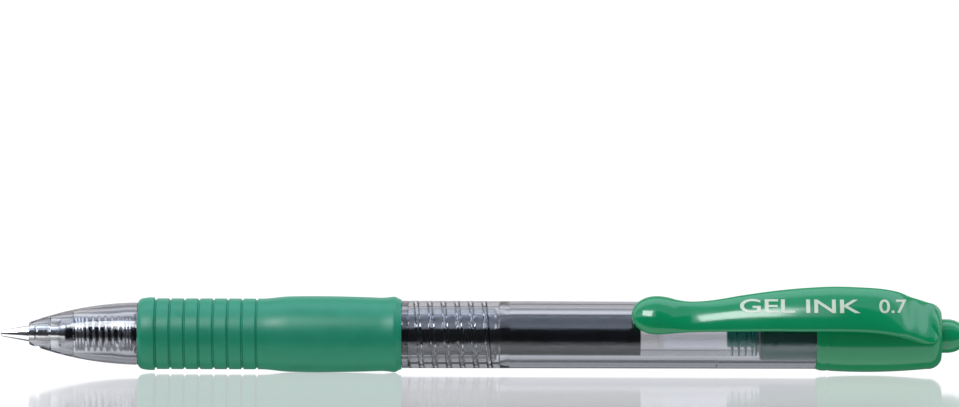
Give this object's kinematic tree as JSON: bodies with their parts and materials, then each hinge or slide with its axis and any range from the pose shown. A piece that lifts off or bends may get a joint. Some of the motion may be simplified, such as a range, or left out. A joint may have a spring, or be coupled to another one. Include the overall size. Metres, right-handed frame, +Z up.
{
  "type": "gel pen",
  "caption": "Retractable gel pen with a clear barrel, ribbed rubber grip, sprung refill, push button and a bending pocket clip.",
  "frame": {"origin": "centre of the pen's box, on the surface that it lies on, with the tip out", "axes": "+X along the pen from the writing tip to the push button, +Z up; the clip stands out to -Y, 26 degrees above level"},
  "size_m": [0.1419, 0.0157, 0.0129],
  "materials": {
    "clear_plastic": "clear polished moulded plastic",
    "grip_rubber": "matte moulded rubber",
    "green_plastic": "glossy moulded plastic",
    "dark_green_plastic": "glossy moulded plastic",
    "rotor_plastic": "dull low-friction plastic",
    "spring_steel": "drawn wire",
    "refill_plastic": "clear extruded plastic",
    "ink": "dark gel",
    "follower_grease": "clear grease",
    "plug_plastic": "moulded plastic",
    "holder_plastic": "milky moulded plastic",
    "tip_metal": "turned metal",
    "ball_carbide": "ground ball wetted with ink"
  },
  "bodies": {
    "root": {"barrel": "clear_plastic", "rear_cap": "green_plastic", "cam_sleeve": "dark_green_plastic", "return_spring": "spring_steel"},
    "grip": {"grip_sleeve": "grip_rubber"},
    "front": {"front_section": "clear_plastic"},
    "refill": {"refill_tube": "refill_plastic", "ink": "ink", "ink_follower": "follower_grease", "tail_plug": "plug_plastic", "tip_holder": "holder_plastic", "tip_shell": "tip_metal"},
    "ball": {"writing_ball": "ball_carbide"},
    "rotor": {"rotor": "rotor_plastic"},
    "button": {"push_button": "green_plastic"},
    "clip": {"pocket_clip": "green_plastic"}
  },
  "joints": [
    {"name": "refill_slide", "type": "slide", "parent": "root", "child": "refill", "axis": [1, 0, 0], "range_m": [-0.0012, 0.005], "stiffness_N_per_m": 300, "deforming": ["return_spring"]},
    {"name": "button_slide", "type": "slide", "parent": "root", "child": "button", "axis": [1, 0, 0], "range_m": [-0.0012, 0.005]},
    {"name": "rotor_turn", "type": "hinge", "parent": "refill", "child": "rotor", "pos_m": [0.0402, 0.00186, 0.00559], "axis": [1, 0, 0], "continuous": true},
    {"name": "ball_roll", "type": "hinge", "parent": "refill", "child": "ball", "pos_m": [-0.0706, 0.00186, 0.00559], "axis": [0, 1, 0], "continuous": true},
    {"name": "clip_flex", "type": "hinge", "parent": "root", "child": "clip", "pos_m": [0.06295, -0.00308, 0.008], "axis": [0, 0.4384, 0.8988], "range_deg": [0, 4], "stiffness_Nm_per_rad": 2.6},
    {"name": "front_advance", "type": "slide", "parent": "root", "child": "grip", "axis": [-1, 0, 0], "range_m": [0, 0.012]},
    {"name": "front_unscrew", "type": "hinge", "parent": "grip", "child": "front", "pos_m": [-0.00505, 0.00186, 0.00559], "axis": [-1, 0, 0], "range_deg": [0, 2160]}
  ],
  "couplings": [
    {"joint": "button_slide", "follows": "refill_slide", "ratio": 1},
    {"joint": "front_unscrew", "follows": "front_advance", "rad_per_m": 3141.6}
  ]
}
